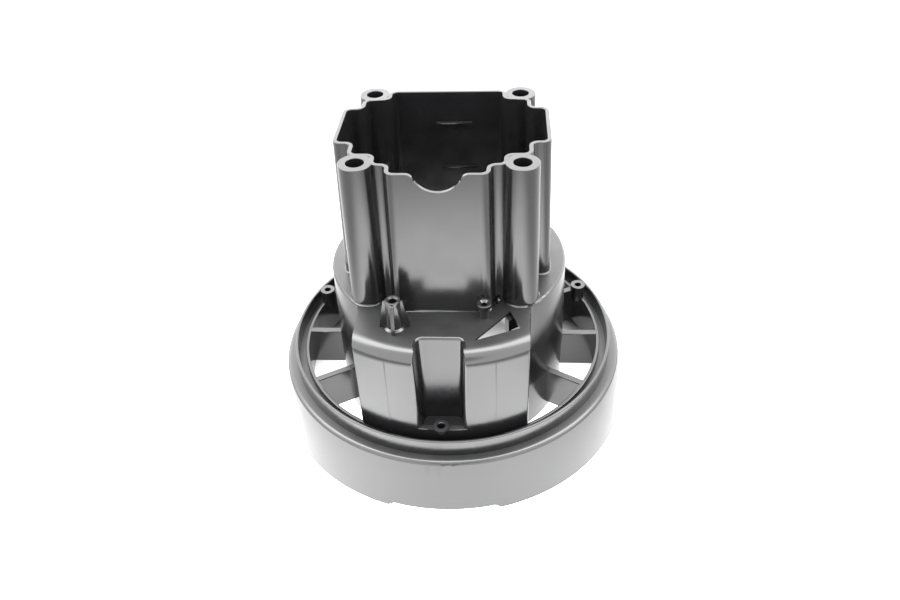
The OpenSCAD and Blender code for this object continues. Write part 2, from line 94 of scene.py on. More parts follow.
def welded_copy(node, name):
    """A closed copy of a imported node, with its double corners merged and its flat walls whole."""
    mesh = node.data.copy()
    mesh.name = name
    bm = bmesh.new()
    bm.from_mesh(mesh)
    bmesh.ops.remove_doubles(bm, verts=bm.verts, dist=WELD_DISTANCE)
    bmesh.ops.dissolve_degenerate(bm, dist=WELD_DISTANCE, edges=bm.edges)
    bmesh.ops.dissolve_limit(
        bm,
        angle_limit=FLAT_ANGLE,
        verts=bm.verts,
        edges=bm.edges,
        use_dissolve_boundaries=False,
    )
    level = {face for face in bm.faces if is_level(face)}
    bmesh.ops.dissolve_limit(
        bm,
        angle_limit=LEVEL_ANGLE,
        verts=[],
        edges=[edge for edge in bm.edges if level.issuperset(edge.link_faces)],
        use_dissolve_boundaries=False,
    )
    print(name, "corners:", len(bm.verts), "faces:", len(bm.faces), "open:", count_open_edges(bm))
    bm.to_mesh(mesh)
    bm.free()
    copy = bpy.data.objects.new(name, mesh)
    bpy.context.scene.collection.objects.link(copy)
    return copy


skin = welded_copy(housing, "moulded_skin")
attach(skin, "root")
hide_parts("motor_housing")

# %% [markdown]
# ## Softly broken edges
#
# No moulded edge is a knife edge: the mould is cut with a small radius, and that thin rounding
# catches a bright line in a gloss part. It could be faked in the material with a bevel node, but that
# leaves streaks on walls whose triangles are long, so bevel cuts it into the real mesh here, one kind
# of edge at a time. An edge is found by what its two faces are: one looks straight up, the other is a
# steep wall, and the turn between them is outward at a rim and inward at a foot. That also makes the
# foot fillets, since bevel fills an inner corner.

# %% Find the edges by what they join
FLAT_LOOKS_UP = 0.985
WALL_LOOKS_UP = 0.3
EDGE_DROP = 0.02 * MM


def middle_of(edge):
    """The middle of an edge."""
    return (edge.verts[0].co + edge.verts[1].co) / 2


def joins_flat_and_wall(edge):
    """Whether an edge is level and joins an upward flat and a steep wall."""
    one, two = edge.link_faces
    up, side = (one, two) if one.normal.z > two.normal.z else (two, one)
    level = abs(edge.verts[0].co.z - edge.verts[1].co.z) <= EDGE_DROP
    return level and up.normal.z >= FLAT_LOOKS_UP and abs(side.normal.z) <= WALL_LOOKS_UP


def find_edges(bm, low_mm, high_mm, outward, belongs):
    """Edges between an upward flat and a steep wall, in a range of heights."""
    found = []
    for edge in bm.edges:
        middle = middle_of(edge) / MM
        in_place = low_mm <= middle.z <= high_mm and belongs(middle.x, middle.y)
        if in_place and joins_flat_and_wall(edge) and edge.is_convex == outward:
            found.append(edge)
    return found


def count_edges(thing, test):
    """How many edges of an object pass a test."""
    bm = bmesh.new()
    bm.from_mesh(thing.data)
    bm.normal_update()
    count = sum(1 for edge in bm.edges if test(edge))
    bm.free()
    return count


print("edges between a flat and a wall:", count_edges(skin, joins_flat_and_wall))

# %% [markdown]
# ## Room for a rounding
#
# Where a toolmaker's cutter would run into a neighbour, the rounding stops. Bevel doesn't stop: next to
# a crowded corner its strips fold over, or the flat beside them crosses itself, and a gloss surface
# shows that as a black wedge. Clamping the overlap would shrink every strip to the worst corner. So each
# rounding is first tried on a copy, the faults are looked for there, and the edges near a fault are left
# out and stay sharp. The reach about a fault grows with each try, until none is left or eight tries are
# done.

# %% Round edges where there is room
ROUNDED_MARK = "rounded"
BREAK_SEGMENTS = 3
TURNED_OVER = -0.2
SMALLEST_FAULT = 0.002 * MM * MM
UPWARD_FLAT = 0.99
FAULT_REACH = 1.6 * MM
REACH_GROWTH = 0.5
MOST_TRIES = 8


def cut_rounding(bm, edges, radius_mm):
    """Bevel some edges, and mark the strips that this makes."""
    mark = bm.faces.layers.int.get(ROUNDED_MARK) or bm.faces.layers.int.new(ROUNDED_MARK)
    made = bmesh.ops.bevel(
        bm,
        geom=edges,
        offset=radius_mm * MM,
        offset_type="OFFSET",
        affect="EDGES",
        segments=BREAK_SEGMENTS,
        profile=0.5,
        clamp_overlap=False,
        loop_slide=True,
        material=-1,
    )
    for face in made["faces"]:
        face[mark] = 1
    bm.normal_update()
    return made["faces"]


def sides_of(face):
    """Each side of a level face's outline: its two ends, and the box round them."""
    points = [vert.co.xy for vert in face.verts]
    return [
        (a, b, min(a.x, b.x), max(a.x, b.x), min(a.y, b.y), max(a.y, b.y))
        for a, b in zip(points, points[1:] + points[:1])
    ]


def may_cross(one, two):
    """Whether the boxes round two sides overlap and the sides share no end."""
    a, b, left, right, front, back = one
    c, d, other_left, other_right, other_front, other_back = two
    if left > other_right or other_left > right or front > other_back or other_front > back:
        return False
    return a not in (c, d) and b not in (c, d)


def crossings(face):
    """The places where the outline of a level face crosses itself."""
    places = []
    sides = sides_of(face)
    for i, one in enumerate(sides):
        for two in sides[i + 2:]:
            if may_cross(one, two):
                place = intersect_line_line_2d(*one[:2], *two[:2])
                if place is not None:
                    places.append(place.to_3d())
    return places


def faults(bm, made):
    """Where a trial rounding has turned strips over or made a flat cross itself."""
    places = []
    touched = set()
    for face in made:
        if face.normal.z < TURNED_OVER and face.calc_area() > SMALLEST_FAULT:
            places.append(face.calc_center_median())
        for edge in face.edges:
            touched.update(near for near in edge.link_faces if near.normal.z > UPWARD_FLAT)
    for face in touched:
        if is_level(face):
            places.extend(crossings(face))
    return places


def break_edges(bm, edges, radius_mm, what):
    """Round a set of edges by a radius, leaving out those that have no room for it."""
    keys = {edge.index for edge in edges}
    for attempt in range(MOST_TRIES):
        trial = bm.copy()
        trial.edges.ensure_lookup_table()
        places = faults(trial, cut_rounding(trial, [trial.edges[key] for key in keys], radius_mm))
        trial.free()
        if not places:
            break
        reach = FAULT_REACH * (1 + REACH_GROWTH * attempt)
        crowded = set()
        for key in keys:
            middle = middle_of(bm.edges[key]).xy
            if any((middle - place.xy).length < reach for place in places):
                crowded.add(key)
        print(what, "has no room at", len(crowded), "edges, faults:", len(places))
        keys -= crowded
    made = cut_rounding(bm, [bm.edges[key] for key in keys], radius_mm)
    bm.edges.ensure_lookup_table()
    bm.edges.index_update()
    print(what, "edges:", len(keys), "strips:", len(made), "open:", count_open_edges(bm))


# %% [markdown]
# ## The mouth of the channel and the notch
#
# Two outlines on the front aren't level, so the finder above misses them: the mouth of the leaning
# channel in the box, and the round notch in the rim of the tube. Both are picked by the part of space
# that they lie in and by how their two faces turn. Picking edges by hand by their numbers would be
# shorter, but a number changes with every change of the model, and a place on the part does not.

# %% Pick the outlines that aren't level
DECK_Z = 77.4
RIM_Z = 141
LEVEL_SLACK = 0.05
MOUTH_X = -0.3
MOUTH_HALF_WIDTH = 10
MOUTH_FRONT_Y = -72.5
MOUTH_BACK_Y = -57
MOUTH_FOOT_Z = 40
MOUTH_TURN = math.radians(45)
NOTCH_HALF_WIDTH = 22
NOTCH_BACK_Y = -36
NOTCH_FOOT_Z = 125
NOTCH_SIDE_FACES_Y = 0.2
NOTCH_WALL_FACES_Y = 0.9


def is_mouth_edge(edge):
    """Whether an edge belongs to the outline of the channel in the front of the box."""
    middle = middle_of(edge) / MM
    if abs(middle.x - MOUTH_X) >= MOUTH_HALF_WIDTH or not MOUTH_FRONT_Y < middle.y < MOUTH_BACK_Y:
        return False
    if not MOUTH_FOOT_Z < middle.z < DECK_Z + LEVEL_SLACK:
        return False
    return edge.is_convex and edge.calc_face_angle(0) > MOUTH_TURN


def is_notch_edge(edge):
    """Whether an edge belongs to the round notch in the front of the rim."""
    middle = middle_of(edge) / MM
    if abs(middle.x) > NOTCH_HALF_WIDTH or middle.y > NOTCH_BACK_Y:
        return False
    if not NOTCH_FOOT_Z < middle.z < RIM_Z:
        return False
    less, more = sorted(abs(face.normal.y) for face in edge.link_faces)
    return edge.is_convex and less < NOTCH_SIDE_FACES_Y and more > NOTCH_WALL_FACES_Y


print("mouth edges:", count_edges(skin, is_mouth_edge))
print("notch edges:", count_edges(skin, is_notch_edge))


# %% [markdown]
# ## Every rounding of the moulding
#
# On the real part the rim of the tube is barely broken, the standing lip is nearly half round, the
# mouth of the channel has a wide lead-in, and the tube runs into the deck with a fillet. The list below
# gives each of them its heights, its side of the corner, its radius and the area that it belongs to. A
# list was chosen over one bevel for all, because each radius leaves its own width of bright line in the
# photo. The mouth comes first, since the others end against it.

# %% Break the rims and fill the feet
LIP_Z = 35.2
RING_Z = 31
RING_BOSS_Z = (36, 39)
DECK_BOSS_Z = (78, 95)
RIB_Z = (103, 127)
RIM_BREAK = 0.35
LIP_BREAK = 0.55
RING_BREAK = 0.3
SMALL_BREAK = 0.3
FOOT_FILLET = 0.8
MOUTH_ROUND = 1.2
RIB_ROUND = 0.8
TUBE_RADII = (0, 80)
LIP_RADII = (74, 76)
RING_RADII = (50, 71.5)
RING_BOSS_RADII = (60, 74)
DECK_BOSS_RADII = (30, 70)
RIB_HALF_WIDTH = 14
RIB_Y = (28, 45)
# The bosses on the deck: x, y, and how far out from there an edge is theirs.
DECK_BOSSES_MM = [(-19, -51.3, 7.5), (17.1, -44.4, 3.3), (22.9, -35.6, 1.5)]


def near_axis(radii):
    """A test of whether a place lies in a range of radii about the main axis."""
    low, high = radii
    return lambda x, y: low <= math.hypot(x, y) <= high


def on_tube_foot(x, y):
    """Whether a place belongs to the foot of the tube, and not to a boss on the deck."""
    return all(math.hypot(x - a, y - b) > reach for a, b, reach in DECK_BOSSES_MM)


def on_tube_ribs(x, y):
    """Whether a place belongs to the short ribs inside the rear wall of the tube."""
    return abs(x) < RIB_HALF_WIDTH and RIB_Y[0] < y < RIB_Y[1]


JOBS = [
    ("rim", (RIM_Z, RIM_Z), True, RIM_BREAK, near_axis(TUBE_RADII)),
    ("lip", (LIP_Z, LIP_Z), True, LIP_BREAK, near_axis(LIP_RADII)),
    ("ring and spokes", (RING_Z, RING_Z), True, RING_BREAK, near_axis(RING_RADII)),
    ("ring bosses", RING_BOSS_Z, True, SMALL_BREAK, near_axis(RING_BOSS_RADII)),
    ("deck bosses", DECK_BOSS_Z, True, SMALL_BREAK, near_axis(DECK_BOSS_RADII)),
    ("tube ribs", RIB_Z, True, RIB_ROUND, on_tube_ribs),
    ("tube foot", (DECK_Z, DECK_Z), False, FOOT_FILLET, on_tube_foot),
]


def break_the_moulding(thing):
    """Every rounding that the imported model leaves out."""
    bm = bmesh.new()
    bm.from_mesh(thing.data)
    bm.normal_update()
    bm.edges.ensure_lookup_table()
    mouth = [edge for edge in bm.edges if is_mouth_edge(edge)]
    break_edges(bm, mouth, MOUTH_ROUND, "channel mouth")
    for what, (low, high), outward, radius, belongs in JOBS:
        edges = find_edges(bm, low - LEVEL_SLACK, high + LEVEL_SLACK, outward, belongs)
        if what == "rim":
            edges += [edge for edge in bm.edges if is_notch_edge(edge) and edge not in edges]
        break_edges(bm, edges, radius, what)
    bm.to_mesh(thing.data)
    bm.free()


break_the_moulding(skin)

# %% [markdown]
# ## True normals for a mirror
#
# A gloss surface shows every error in its normals, and the usual averages are not good enough here:
# they tilt a flat wall towards its fillet, and they weigh a wide strip of a round wall more than a
# narrow one. A finer mesh would hide this at a great cost in triangles, so the normals are worked out
# instead. First each edge is judged. It is smooth where its faces could be strips of one bend. Where a
# face is much wider than any strip of that bend could be, it is a real wall and it wins: its own
# normal holds at the shared corners. The strips of a rounding, and slivers too thin for a normal of
# their own, are weak. They always take the normals of the walls beside them, which is what makes a
# rounding of three strips look perfectly round.

# %% Judge each edge
CREASE_ANGLE = math.radians(24)
CHORD_ERROR = 0.0553 * MM
CHORD_ANGLE = 0.3
STRIP_SLACK = 1.1
SLIVER_WIDTH = 0.012 * MM
SLIVER_LENGTH = 0.5 * MM
TINY_ANGLE = 1e-6


def width_from(face, edge):
    """How far a face reaches from one of its edges."""
    start = edge.verts[0].co
    along = (edge.verts[1].co - start).normalized()
    return max((v.co - start - along * (v.co - start).dot(along)).length for v in face.verts)


def is_sliver(face):
    """Whether a face is too thin for its normal to mean anything."""
    longest = max(edge.calc_length() for edge in face.edges)
    return face.calc_area() < SLIVER_WIDTH * max(longest, SLIVER_LENGTH)


def widest_strip(radius):
    """How wide a strip of a bend of this radius can be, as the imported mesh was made."""
    return STRIP_SLACK * min(2 * math.sqrt(2 * radius * CHORD_ERROR), CHORD_ANGLE * radius)


def judge_edge(edge, weak):
    """Whether an edge is smooth, and which of its two faces wins there, if one does."""
    one, two = edge.link_faces
    if one in weak and two in weak:
        return True, None
    if one in weak or two in weak:
        return True, (two if one in weak else one)
    angle = one.normal.angle(two.normal, math.pi)
    if angle > CREASE_ANGLE:
        return False, None
    wide_one, wide_two = width_from(one, edge), width_from(two, edge)
    strip = widest_strip((wide_one + wide_two) / (2 * max(angle, TINY_ANGLE)))
    if wide_one > strip and wide_two > strip:
        return False, None
    if max(wide_one, wide_two) <= strip:
        return True, None
    return True, (one if wide_one > wide_two else two)


def weak_faces(bm):
    """The strips of the roundings, and the slivers."""
    mark = bm.faces.layers.int[ROUNDED_MARK]
    return {face for face in bm.faces if face[mark] or is_sliver(face)}


for bend_mm in (1, 10, 80):
    print("widest strip of a bend of", bend_mm, "mm:", round(widest_strip(bend_mm * MM) / MM, 2), "mm")

# %% [markdown]
# ## Walls turned about an axis
#
# The skirt, the lip, the drum and all the bosses are turned forms, and their mirror image is a clean
# upright band. Their triangles can be long and skewed, so that even a careful average swings a little
# from corner to corner and the band gets a wave. The axes are known from the form, so the normal on
# such a wall can point straight away from its axis. A face belongs to an axis when its corners lie on
# one cone about it and it covers no more of the turn than one strip does. The last two axes are those
# of the hollow webs that lead the sides of the box into the drum.

# %% Find the axis of each round wall
FIT_ERROR = 0.012 * MM
CLOSEST_TO_AXIS = 4 * FIT_ERROR
LEAST_ONE_SIDED = 0.5
WIDEST_SPREAD = 0.75 * CHORD_ANGLE
SPREAD_TO_CHORD = 1.5
LARGEST_SAG = 1.3 * CHORD_ERROR
FACING_ERROR = 0.5 * CHORD_ANGLE
LEVEL_LOOKS_UP = 0.98
MAIN_AXIS_MM = (0, 0)
TUBE_BOSS_X = 31.85
TUBE_BOSS_Y = 30.8
RING_BOSS_R = 68.8
RING_BOSS_ANGLES = (-90.6, 24.6, 160.2)
BOX_HALF_WIDTH = 35.6
WEB_ROUND = 10
DRUM_R_AT_WEB = 52.45


def known_axes():
    """The upright axes of the round walls, in millimetres."""
    turns = [math.radians(angle) for angle in RING_BOSS_ANGLES]
    web_x = BOX_HALF_WIDTH + WEB_ROUND
    web_y = -math.sqrt((DRUM_R_AT_WEB + WEB_ROUND) ** 2 - web_x ** 2)
    return [
        MAIN_AXIS_MM,
        *((x, y) for y in (-TUBE_BOSS_Y, TUBE_BOSS_Y) for x in (-TUBE_BOSS_X, TUBE_BOSS_X)),
        *((x, y) for x, y, reach in DECK_BOSSES_MM),
        *((RING_BOSS_R * math.cos(turn), RING_BOSS_R * math.sin(turn)) for turn in turns),
        (-web_x, web_y),
        (web_x, web_y),
    ]


ROUND_AXES_MM = known_axes()


def off_cone(face, radii):
    """How far the corners of a face lie off the nearest cone, or none if it has no height."""
    heights = [v.co.z for v in face.verts]
    mean_z, mean_r = sum(heights) / len(heights), sum(radii) / len(radii)
    across = sum((z - mean_z) ** 2 for z in heights)
    if across < FIT_ERROR ** 2:
        return None
    slope = sum((z - mean_z) * (r - mean_r) for z, r in zip(heights, radii)) / across
    return max(abs(r - mean_r - slope * (z - mean_z)) for z, r in zip(heights, radii))


def turned_about(face, axis):
    """Whether a face is a piece of a wall that is turned about an upright axis."""
    away = [Vector((v.co.x - axis.x, v.co.y - axis.y)) for v in face.verts]
    radii = [a.length for a in away]
    middle = sum((a.normalized() for a in away), Vector((0, 0)))
    if middle.length < LEAST_ONE_SIDED * len(away) or min(radii) < CLOSEST_TO_AXIS:
        return False
    spread = max(abs(a.angle_signed(middle)) for a in away)
    sag = max(radii) * (1 - math.cos(spread / SPREAD_TO_CHORD))
    if spread > WIDEST_SPREAD or sag > LARGEST_SAG:
        return False
    misfit = off_cone(face, radii)
    if misfit is None or misfit >= FIT_ERROR:
        return False
    return abs(face.normal.xy.normalized().cross(middle.normalized())) < FACING_ERROR


def round_axis(face):
    """The axis that a face is turned about, if it is one of the known ones."""
    if abs(face.normal.z) > LEVEL_LOOKS_UP:
        return None
    for axis in ROUND_AXES_MM:
        if turned_about(face, Vector(axis) * MM):
            return axis
    return None


print("known axes in mm:", [tuple(round(v, 2) for v in axis) for axis in ROUND_AXES_MM])

# %% [markdown]
# ## The large roundings
#
# The shoulder of the skirt, the top edge of the drum and the top of the box are roundings that the
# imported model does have. Each is a circle turned about the main axis, so the normal there is known
# exactly: it points away from the middle of that circle. A shoulder under a leaning wall has its
# middle a little further out than a square one, and shoulder_circle works out where.

# %% Give the large roundings their circles
SKIRT_TOP_MM = (80, 27.4)
SKIRT_LEAN = math.atan2(4, 27.4)
SKIRT_ROUND = 2
DRUM_TOP_MM = (52.6, DECK_Z)
DRUM_LEAN = math.atan2(0.8, 45)
DRUM_ROUND = 1
BOX_R = 70.85
BOX_ROUND = 6
BOX_WALL = 2
ROUNDING_SLACK = 0.006 * MM
ROUNDING_ANGLE = math.radians(25)


def shoulder_circle(edge_r, edge_z, lean, round_r):
    """The circle that a rounding of round_r is turned about, under a leaning wall."""
    drop = math.tan(lean) * round_r
    return (edge_r + drop - round_r / math.cos(lean), edge_z - round_r, round_r)


ROUNDINGS_MM = [
    shoulder_circle(*SKIRT_TOP_MM, SKIRT_LEAN, SKIRT_ROUND),
    shoulder_circle(*DRUM_TOP_MM, DRUM_LEAN, DRUM_ROUND),
    (BOX_R - BOX_ROUND, DECK_Z - BOX_ROUND, BOX_ROUND),
    (BOX_R - BOX_ROUND, DECK_Z - BOX_ROUND, BOX_ROUND - BOX_WALL),
]


def rounding_normal(place, guess):
    """The exact normal at a place on one of the large roundings, if it lies on one."""
    radius = place.xy.length
    for ring_r, ring_z, round_r in ROUNDINGS_MM:
        out = Vector((radius - ring_r * MM, place.z - ring_z * MM))
        if abs(out.length - round_r * MM) > ROUNDING_SLACK:
            continue
        out.normalize()
        exact = Vector((*(place.xy.normalized() * out.x), out.y))
        for normal in (exact, -exact):
            if normal.angle(guess) < ROUNDING_ANGLE:
                return normal
    return None


print("circles in mm:", [tuple(round(v, 2) for v in circle) for circle in ROUNDINGS_MM])

# %% [markdown]
# ## One normal for each corner of each face
#
# Round each corner the faces fall into fans, joined across the smooth edges. In a fan the faces that no
# neighbour beats are averaged, each weighed by the sine of its corner over the lengths of its two edges.
# That weight gives the exact normal on a cylinder and on a sphere, however uneven the strips are. A
# face only listens to the firm faces that look nearly its own way, so a sliver that joins two walls
# can't blend them.

# %% Average the faces of a fan
TINY_PRODUCT = 1e-16
TINY_NORMAL = 1e-9


def corner_weight(loop):
    """Sine of a face's corner over the lengths of its two edges."""
    ahead = loop.link_loop_next.vert.co - loop.vert.co
    behind = loop.link_loop_prev.vert.co - loop.vert.co
    product = ahead.length * behind.length
    return ahead.cross(behind).length / (product * product) if product > TINY_PRODUCT else 0


def mean_normal(loops):
    """The weighted mean of the normals of some faces at one corner."""
    total = Vector((0, 0, 0))
    for loop in loops:
        total += loop.face.normal * corner_weight(loop)
    if total.length < TINY_NORMAL:
        for loop in loops:
            total += loop.face.normal
    return total.normalized()


def smooth_neighbours(loop, verdicts):
    """The loops at the same corner that a loop is joined to across a smooth edge."""
    for edge in (loop.edge, loop.link_loop_prev.edge):
        if verdicts[edge][0]:
            for other in edge.link_faces:
                yield from (near for near in other.loops if near.vert == loop.vert)


def smooth_fans(vert, verdicts):
    """The loops round a corner, in groups that are joined across smooth edges."""
    left = set(vert.link_loops)
    while left:
        fan, stack = set(), [left.pop()]
        while stack:
            loop = stack.pop()
            fan.add(loop)
            for near in smooth_neighbours(loop, verdicts):
                if near in left:
                    left.discard(near)
                    stack.append(near)
        yield fan


def unbeaten(vert, fan, verdicts):
    """The loops of a fan that no neighbour beats; faces of one round wall lose together."""
    by_face = {loop.face: loop for loop in fan}
    beaten, friends = set(), {face: [] for face in by_face}
    for edge in vert.link_edges:
        smooth, winner = verdicts[edge]
        one, two = edge.link_faces
        if not smooth or one not in by_face or two not in by_face:
            continue
        if winner is None:
            friends[one].append(two)
            friends[two].append(one)
        else:
            beaten.add(two if winner is one else one)
    stack = list(beaten)
    while stack:
        for face in friends[stack.pop()]:
            if face not in beaten:
                beaten.add(face)
                stack.append(face)
    return [loop for face, loop in by_face.items() if face not in beaten] or list(fan)


def like_minded(loop, firm):
    """The firm loops whose faces look the same way as the one nearest to this loop's face."""
    own = loop.face.normal
    near = min(firm, key=lambda other: other.face.normal.angle(own, math.pi)).face.normal
    return [other for other in firm if other.face.normal.angle(near, math.pi) < CREASE_ANGLE]


def fan_normals(vert, fan, verdicts, axes, weak):
    """A normal for each loop of a fan, from the faces there that no neighbour beats."""
    kept = unbeaten(vert, fan, verdicts)
    firm = [loop for loop in kept if loop.face not in weak]
    answers = {}
    for loop in fan:
        group = like_minded(loop, firm) if firm else kept
        total = mean_normal(group)
        exact = rounding_normal(vert.co, total)
        if exact is not None:
            answers[loop] = exact
            continue
        about = {axes[other.face] for other in group}
        if len(about) == 1 and None not in about:
            away = (vert.co.xy - Vector(about.pop()) * MM).normalized()
            side = math.copysign(total.xy.length, total.xy.dot(away))
            total.x, total.y = side * away
        answers[loop] = total
    return answers


# %% [markdown]
# ## Hand the normals to the mesh
#
# Custom normals only hold as they are meant where the mesh also knows its creases. So every face is set
# smooth, and an edge is marked sharp exactly where the normals on its two sides differ. Any tool that
# reads the mesh then sees the same form as the render does.

# %% Set the normals
SAME_ANGLE = math.radians(0.3)


def stays_smooth(edge, normals):
    """Whether the two faces of an edge have the same normals along it."""
    one, two = edge.link_loops
    ends = ((one, two.link_loop_next), (one.link_loop_next, two))
    return all(normals[a.index].angle(normals[b.index], 0) < SAME_ANGLE for a, b in ends)


def number_the_loops(bm):
    """Number the loops in the order that the mesh will keep them in, and count them."""
    count = 0
    for face in bm.faces:
        for loop in face.loops:
            loop.index = count
            count += 1
    return count


def set_true_normals(thing):
    """Smooth shading with worked-out normals, and sharp edges where the form has a crease."""
    mesh = thing.data
    bm = bmesh.new()
    bm.from_mesh(mesh)
    bm.normal_update()
    weak = weak_faces(bm)
    verdicts = {edge: judge_edge(edge, weak) for edge in bm.edges}
    axes = {face: round_axis(face) for face in bm.faces}
    turned = sum(1 for axis in axes.values() if axis is not None)
    print("faces:", len(bm.faces), "weak:", len(weak), "turned about a known axis:", turned)
    normals = [None] * number_the_loops(bm)
    for vert in bm.verts:
        for fan in smooth_fans(vert, verdicts):
            for loop, normal in fan_normals(vert, fan, verdicts, axes, weak).items():
                normals[loop.index] = normal
    for face in bm.faces:
        face.smooth = True
    for edge in bm.edges:
        edge.smooth = stays_smooth(edge, normals)
    sharp = sum(1 for edge in bm.edges if not edge.smooth)
    bm.to_mesh(mesh)
    bm.free()
    mesh.normals_split_custom_set(normals)
    print(thing.name, "corner normals:", len(normals), "sharp edges:", sharp)


set_true_normals(skin)

# %% [markdown]
# ## Small helpers for nodes
#
# A material and a world are both graphs of nodes, and the same two kinds come up again and again: one
# that does a sum, and one that carries a value from one range to another. Two helpers keep the graphs
# below short enough to read as sentences.

# %% Sums and ranges
SMOOTH = "SMOOTHSTEP"
STRAIGHT = "LINEAR"


def math_node(nodes, links, operation, *values):
    """The result of a sum on one or two outputs of other nodes."""
    node = nodes.new("ShaderNodeMath")
    node.operation = operation
    for socket, value in zip(node.inputs, values):
        links.new(value, socket)
    return node.outputs["Value"]


def map_range(nodes, links, value, before, after, way=STRAIGHT):
    """A value carried from one range to another, and held at the ends of it."""
    node = nodes.new("ShaderNodeMapRange")
    node.interpolation_type = way
    for name, number in zip(("From Min", "From Max", "To Min", "To Max"), (*before, *after)):
        node.inputs[name].default_value = number
    links.new(value, node.inputs["Value"])
    return node.outputs["Result"]


def vector_node(nodes, links, operation, place, other):
    """The single number that a vector operation gives for a place and a fixed vector."""
    node = nodes.new("ShaderNodeVectorMath")
    node.operation = operation
    node.inputs[1].default_value = other
    links.new(place, node.inputs[0])
    return node.outputs["Value"]


def object_place(nodes):
    """The place on the object, or in the world the way that a ray goes."""
    return nodes.new("ShaderNodeTexCoord").outputs["Object"]


def height_of(nodes, links, vector):
    """The upright part of a vector."""
    node = nodes.new("ShaderNodeSeparateXYZ")
    links.new(vector, node.inputs["Vector"])
    return node.outputs["Z"]


# %% [markdown]
# ## The plastic
#
# Gloss black moulded plastic has almost no colour of its own. What the eye sees is the four or five
# per cent of white light that its surface mirrors, more at a grazing angle. A Principled shader with
# a nearly black base and the index of refraction of the plastic gives exactly that. The life is in
# the surface: a faint grain from the polished steel, slow waves where the walls cooled and sank, and
# fine drag lines along the pull of the mould. They are noise textures on Object coordinates, so they
# stay on the part from every side. The upward flats are satin in the photo, since a flat mould face
# isn't polished like a draft wall, and so they get a roughness of their own, by the way they look.

# %% The finish of the moulding
PLASTIC_COLOR = (0.0040, 0.0040, 0.0043, 1)
PLASTIC_IOR = 1.5
PATCH_MM = 9
PATCH_DETAIL = 3
PATCH_RANGE = (0.3, 0.7)
ROUGHNESS = (0.17, 0.25)
FLAT_RANGE = (0.96, 0.995)
FLAT_ROUGHNESS = (0, 0.22)
GRAIN_MM = 0.35
GRAIN_DETAIL = 2
GRAIN_HEIGHT_MM = 0.0012
WAVE_MM = 17
WAVE_DETAIL = 1
WAVE_HEIGHT_MM = 0.006
DRAG_WIDTH_MM = 0.9
DRAG_LENGTH_MM = 60
DRAG_DETAIL = 2
DRAG_HEIGHT_MM = 0.0015


def noise(nodes, links, coordinates, cell_mm, detail, stretch=(1, 1, 1)):
    """A noise texture whose cells are about cell_mm wide on the part."""
    mapping = nodes.new("ShaderNodeMapping")
    mapping.inputs["Scale"].default_value = stretch
    links.new(coordinates, mapping.inputs["Vector"])
    texture = nodes.new("ShaderNodeTexNoise")
    texture.inputs["Scale"].default_value = 1 / (cell_mm * MM)
    texture.inputs["Detail"].default_value = detail
    links.new(mapping.outputs["Vector"], texture.inputs["Vector"])
    return texture.outputs["Fac"]


def bump(nodes, links, height, height_mm, below=None):
    """A bump node of height_mm, laid over the one below."""
    node = nodes.new("ShaderNodeBump")
    node.inputs["Strength"].default_value = 1
    node.inputs["Distance"].default_value = height_mm * MM
    links.new(height, node.inputs["Height"])
    if below is not None:
        links.new(below, node.inputs["Normal"])
    return node.outputs["Normal"]


def roughness(nodes, links, where):
    """Patches of a little more and less gloss, and satin on the upward flats."""
    patches = noise(nodes, links, where, PATCH_MM, PATCH_DETAIL)
    gloss = map_range(nodes, links, patches, PATCH_RANGE, ROUGHNESS)
    upward = height_of(nodes, links, nodes.new("ShaderNodeNewGeometry").outputs["Normal"])
    satin = map_range(nodes, links, upward, FLAT_RANGE, FLAT_ROUGHNESS)
    return math_node(nodes, links, "ADD", gloss, satin)


def surface(nodes, links, where):
    """Waves, drag lines and grain, laid over each other."""
    swell = noise(nodes, links, where, WAVE_MM, WAVE_DETAIL)
    waves = bump(nodes, links, swell, WAVE_HEIGHT_MM)
    along_the_pull = (1, 1, DRAG_WIDTH_MM / DRAG_LENGTH_MM)
    streaks = noise(nodes, links, where, DRAG_WIDTH_MM, DRAG_DETAIL, along_the_pull)
    drags = bump(nodes, links, streaks, DRAG_HEIGHT_MM, waves)
    specks = noise(nodes, links, where, GRAIN_MM, GRAIN_DETAIL)
    return bump(nodes, links, specks, GRAIN_HEIGHT_MM, drags)


def gloss_black_plastic():
    """The one material of the part."""
    material = bpy.data.materials.new("gloss_black_plastic")
    material.use_nodes = True
    nodes, links = material.node_tree.nodes, material.node_tree.links
    shader = nodes["Principled BSDF"]
    shader.inputs["Base Color"].default_value = PLASTIC_COLOR
    shader.inputs["IOR"].default_value = PLASTIC_IOR
    where = object_place(nodes)
    links.new(roughness(nodes, links, where), shader.inputs["Roughness"])
    links.new(surface(nodes, links, where), shader.inputs["Normal"])
    return material


plastic = gloss_black_plastic()
skin.data.materials.clear()
skin.data.materials.append(plastic)
print("material:", plastic.name, "on", skin.name)

# %% [markdown]
# ## The photographer's place
#
# The light is set round the photographer, so this place comes before the lamps. It is given as they
# would give it: how far round the part from its front, and how high.

# %% Directions from the part
CAMERA_AZIMUTH = 4.643
CAMERA_ELEVATION = 37.275


def direction(azimuth, elevation):
    """A unit vector, from degrees round from the front and degrees up."""
    azimuth, elevation = math.radians(azimuth), math.radians(elevation)
    level = math.cos(elevation)
    return Vector((math.sin(azimuth) * level, -math.cos(azimuth) * level, math.sin(elevation)))


to_camera = direction(CAMERA_AZIMUTH, CAMERA_ELEVATION)
print("towards the camera:", [round(v, 3) for v in to_camera])

